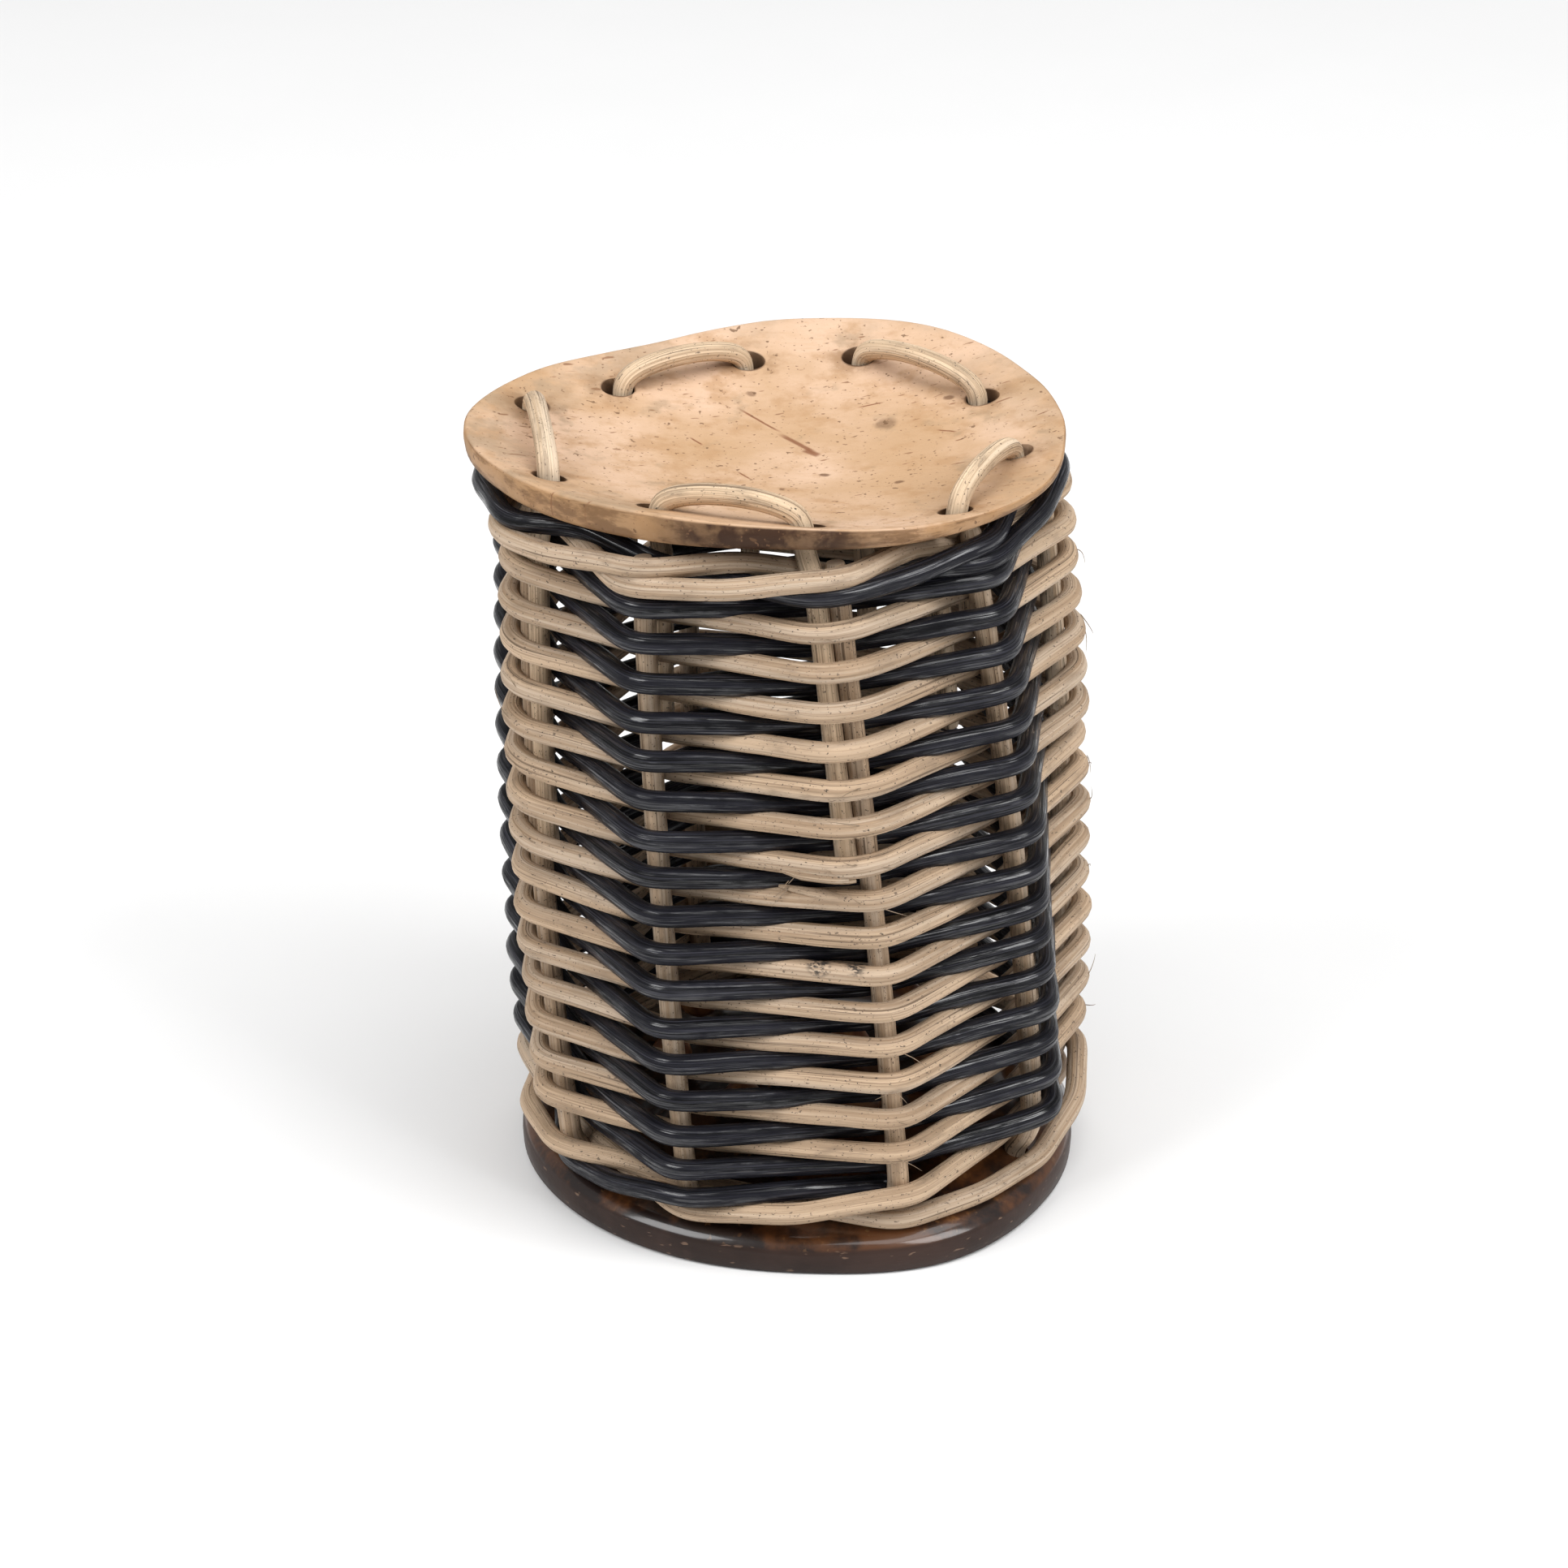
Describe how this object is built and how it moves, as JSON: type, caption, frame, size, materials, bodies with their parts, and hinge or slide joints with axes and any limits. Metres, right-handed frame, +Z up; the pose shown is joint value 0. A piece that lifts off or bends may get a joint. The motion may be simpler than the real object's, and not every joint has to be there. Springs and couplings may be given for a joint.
{
  "type": "rattan basket shaker",
  "caption": "Closed round cane-woven basket shaker in natural and black bands, with a gourd disc sewn on top, a coconut shell foot and loose seeds inside.",
  "frame": {"origin": "centre of the bounding box's base, on the surface that the foot plate stands on", "axes": "+Z up through the basket, -Y the front, +X to the viewer's right"},
  "size_m": [0.0844, 0.0783, 0.112],
  "materials": {
    "natural_cane": "bare round-core rattan, fine lengthwise grain, dry satin",
    "black_cane": "dyed blue-black round-core rattan, fine lengthwise grain, soft sheen",
    "gourd": "bare calabash gourd, inner side up, stained and worn",
    "coconut_shell": "scraped coconut shell, oiled dome and dull ground rim",
    "seed_coat": "smooth dry seed coat"
  },
  "bodies": {
    "basket": {"foot_plate": "coconut_shell", "foot_wale_black_1": "black_cane", "foot_wale_black_2": "black_cane", "foot_wale_natural_1": "natural_cane", "foot_wale_natural_2": "natural_cane", "head_plate": "gourd", "head_wale_black_1": "black_cane", "head_wale_black_2": "black_cane", "head_wale_natural_1": "natural_cane", "head_wale_natural_2": "natural_cane", "stake_pair_1": "natural_cane", "stake_pair_2": "natural_cane", "stake_pair_3": "natural_cane", "stake_pair_4": "natural_cane", "stitch_back_left": "natural_cane", "stitch_back_right": "natural_cane", "stitch_front": "natural_cane", "stitch_left": "natural_cane", "stitch_right": "natural_cane", "weaver_black_1": "black_cane", "weaver_black_2": "black_cane", "weaver_black_3": "black_cane", "weaver_black_4": "black_cane", "weaver_black_5": "black_cane", "weaver_natural_1": "natural_cane", "weaver_natural_2": "natural_cane", "weaver_natural_3": "natural_cane", "weaver_natural_4": "natural_cane", "weaver_natural_5": "natural_cane"},
    "loose_seed_01": {"seed_01": "seed_coat"},
    "loose_seed_02": {"seed_02": "seed_coat"},
    "loose_seed_03": {"seed_03": "seed_coat"},
    "loose_seed_04": {"seed_04": "seed_coat"},
    "loose_seed_05": {"seed_05": "seed_coat"},
    "loose_seed_06": {"seed_06": "seed_coat"},
    "loose_seed_07": {"seed_07": "seed_coat"},
    "loose_seed_08": {"seed_08": "seed_coat"},
    "loose_seed_09": {"seed_09": "seed_coat"},
    "loose_seed_10": {"seed_10": "seed_coat"}
  },
  "joints": [
    {"name": "shake_01", "type": "slide", "parent": "basket", "child": "loose_seed_01", "axis": [0, 0, 1], "range_m": [0, 0.081]},
    {"name": "shake_02", "type": "slide", "parent": "basket", "child": "loose_seed_02", "axis": [0, 0, 1], "range_m": [0, 0.081]},
    {"name": "shake_03", "type": "slide", "parent": "basket", "child": "loose_seed_03", "axis": [0, 0, 1], "range_m": [0, 0.081]},
    {"name": "shake_04", "type": "slide", "parent": "basket", "child": "loose_seed_04", "axis": [0, 0, 1], "range_m": [0, 0.083]},
    {"name": "shake_05", "type": "slide", "parent": "basket", "child": "loose_seed_05", "axis": [0, 0, 1], "range_m": [0, 0.083]},
    {"name": "shake_06", "type": "slide", "parent": "basket", "child": "loose_seed_06", "axis": [0, 0, 1], "range_m": [0, 0.083]},
    {"name": "shake_07", "type": "slide", "parent": "basket", "child": "loose_seed_07", "axis": [0, 0, 1], "range_m": [0, 0.083]},
    {"name": "shake_08", "type": "slide", "parent": "basket", "child": "loose_seed_08", "axis": [0, 0, 1], "range_m": [0, 0.083]},
    {"name": "shake_09", "type": "slide", "parent": "basket", "child": "loose_seed_09", "axis": [0, 0, 1], "range_m": [0, 0.083]},
    {"name": "shake_10", "type": "slide", "parent": "basket", "child": "loose_seed_10", "axis": [0, 0, 1], "range_m": [0, 0.083]}
  ]
}
